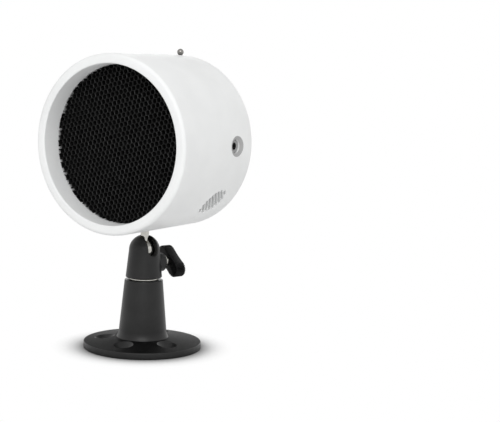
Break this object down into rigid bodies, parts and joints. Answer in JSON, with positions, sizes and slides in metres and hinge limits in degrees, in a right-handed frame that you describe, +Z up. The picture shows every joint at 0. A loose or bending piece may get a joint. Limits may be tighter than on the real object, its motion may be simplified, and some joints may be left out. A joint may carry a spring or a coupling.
{
  "type": "thermal reference head on a swivel stand",
  "caption": "White cylindrical head with a recessed black honeycomb face and a rear connector panel, on a black round-based post with a clamped ball joint.",
  "frame": {"origin": "middle of the stand underside, on the surface it stands on", "axes": "+Z up along the post, -Y out of the honeycomb face, +Y out of the connector panel, +X out of the power inlet"},
  "size_m": [0.1164, 0.0857, 0.2009],
  "materials": {
    "stand_black": "satin black paint",
    "knob_black": "matte",
    "chrome": "polished",
    "steel": "nickel plated",
    "nylon": "matte",
    "shell_white": "satin white",
    "core_black": "matte black coating",
    "heater_orange": "silicone rubber",
    "foam": "foam",
    "aluminium": "machined",
    "brass": "machined",
    "panel_grey": "fine texture",
    "plate_silver": "satin light grey",
    "sticker_white": "paper label",
    "button_dark": "matte rubber",
    "window_violet": "dark tinted window",
    "board_green": "solder mask",
    "insulator_black": "matte",
    "gold": "gold plated"
  },
  "bodies": {
    "stand": {"base_post": "stand_black", "swivel_ring": "steel", "swivel_screw": "steel", "swivel_nut": "steel"},
    "clamp": {"clamp_head": "stand_black", "ball_seat": "nylon"},
    "knob_slide": {"knob_washer": "steel"},
    "knob": {"clamp_screw": "steel", "clamp_knob": "knob_black"},
    "ball": {"ball_stud": "chrome"},
    "head": {"housing_shell": "shell_white", "threaded_insert": "brass", "honeycomb_core": "core_black", "emitter_plate": "core_black", "heater_pad": "heater_orange", "insulation_disc": "foam", "temperature_probe": "steel", "chassis_ring": "aluminium", "fan_bracket": "aluminium", "fan_frame": "insulator_black", "jack_body": "insulator_black", "jack_pin": "steel", "jack_nut": "steel", "top_ball_pin": "chrome", "side_plug": "shell_white", "rear_panel": "panel_grey", "label_plate": "plate_silver", "reference_sticker": "sticker_white", "keypad_plate": "plate_silver", "switch_plus": "button_dark", "switch_minus": "button_dark", "display_glass": "window_violet", "display_module": "board_green", "serial_shell": "steel", "serial_insulator": "insulator_black", "serial_pins": "gold", "jackscrew_1": "steel", "jackscrew_2": "steel", "usb_shell": "steel", "usb_tongue": "insulator_black", "control_board": "board_green", "fan_screw_1": "steel", "board_standoff_1": "steel", "fan_screw_2": "steel", "board_standoff_2": "steel", "fan_screw_3": "steel", "board_standoff_3": "steel", "fan_screw_4": "steel", "board_standoff_4": "steel", "panel_screw_1": "steel", "panel_screw_2": "steel", "panel_screw_3": "steel"},
    "fan": {"fan_rotor": "insulator_black"},
    "plus": {"button_plus": "button_dark"},
    "minus": {"button_minus": "button_dark"}
  },
  "joints": [
    {"name": "clamp_swivel", "type": "hinge", "parent": "stand", "child": "clamp", "pos_m": [0, 0, 0.05], "axis": [0, 0, 1], "continuous": true},
    {"name": "knob_travel", "type": "slide", "parent": "clamp", "child": "knob_slide", "axis": [0.319, 0.9478, 0], "range_m": [0, 0.0016]},
    {"name": "knob_turn", "type": "hinge", "parent": "knob_slide", "child": "knob", "pos_m": [0, 0, 0.0569], "axis": [0.319, 0.9478, 0], "range_deg": [0, 720]},
    {"name": "head_tilt", "type": "hinge", "parent": "clamp", "child": "ball", "pos_m": [0, 0, 0.0663], "axis": [0.319, 0.9478, 0], "range_deg": [0, 90]},
    {"name": "head_pan", "type": "hinge", "parent": "ball", "child": "head", "pos_m": [0, 0, 0.0663], "axis": [0, 0, 1], "continuous": true},
    {"name": "fan_spin", "type": "hinge", "parent": "head", "child": "fan", "pos_m": [0.03593, 0.0132, 0.1083], "axis": [0.766, 0, -0.6428], "continuous": true},
    {"name": "plus_press", "type": "slide", "parent": "head", "child": "plus", "axis": [0, -1, 0], "range_m": [0, 0.0006], "stiffness_N_per_m": 1500},
    {"name": "minus_press", "type": "slide", "parent": "head", "child": "minus", "axis": [0, -1, 0], "range_m": [0, 0.0006], "stiffness_N_per_m": 1500}
  ],
  "couplings": [
    {"joint": "knob_turn", "follows": "knob_travel", "rad_per_m": 7853.9}
  ]
}
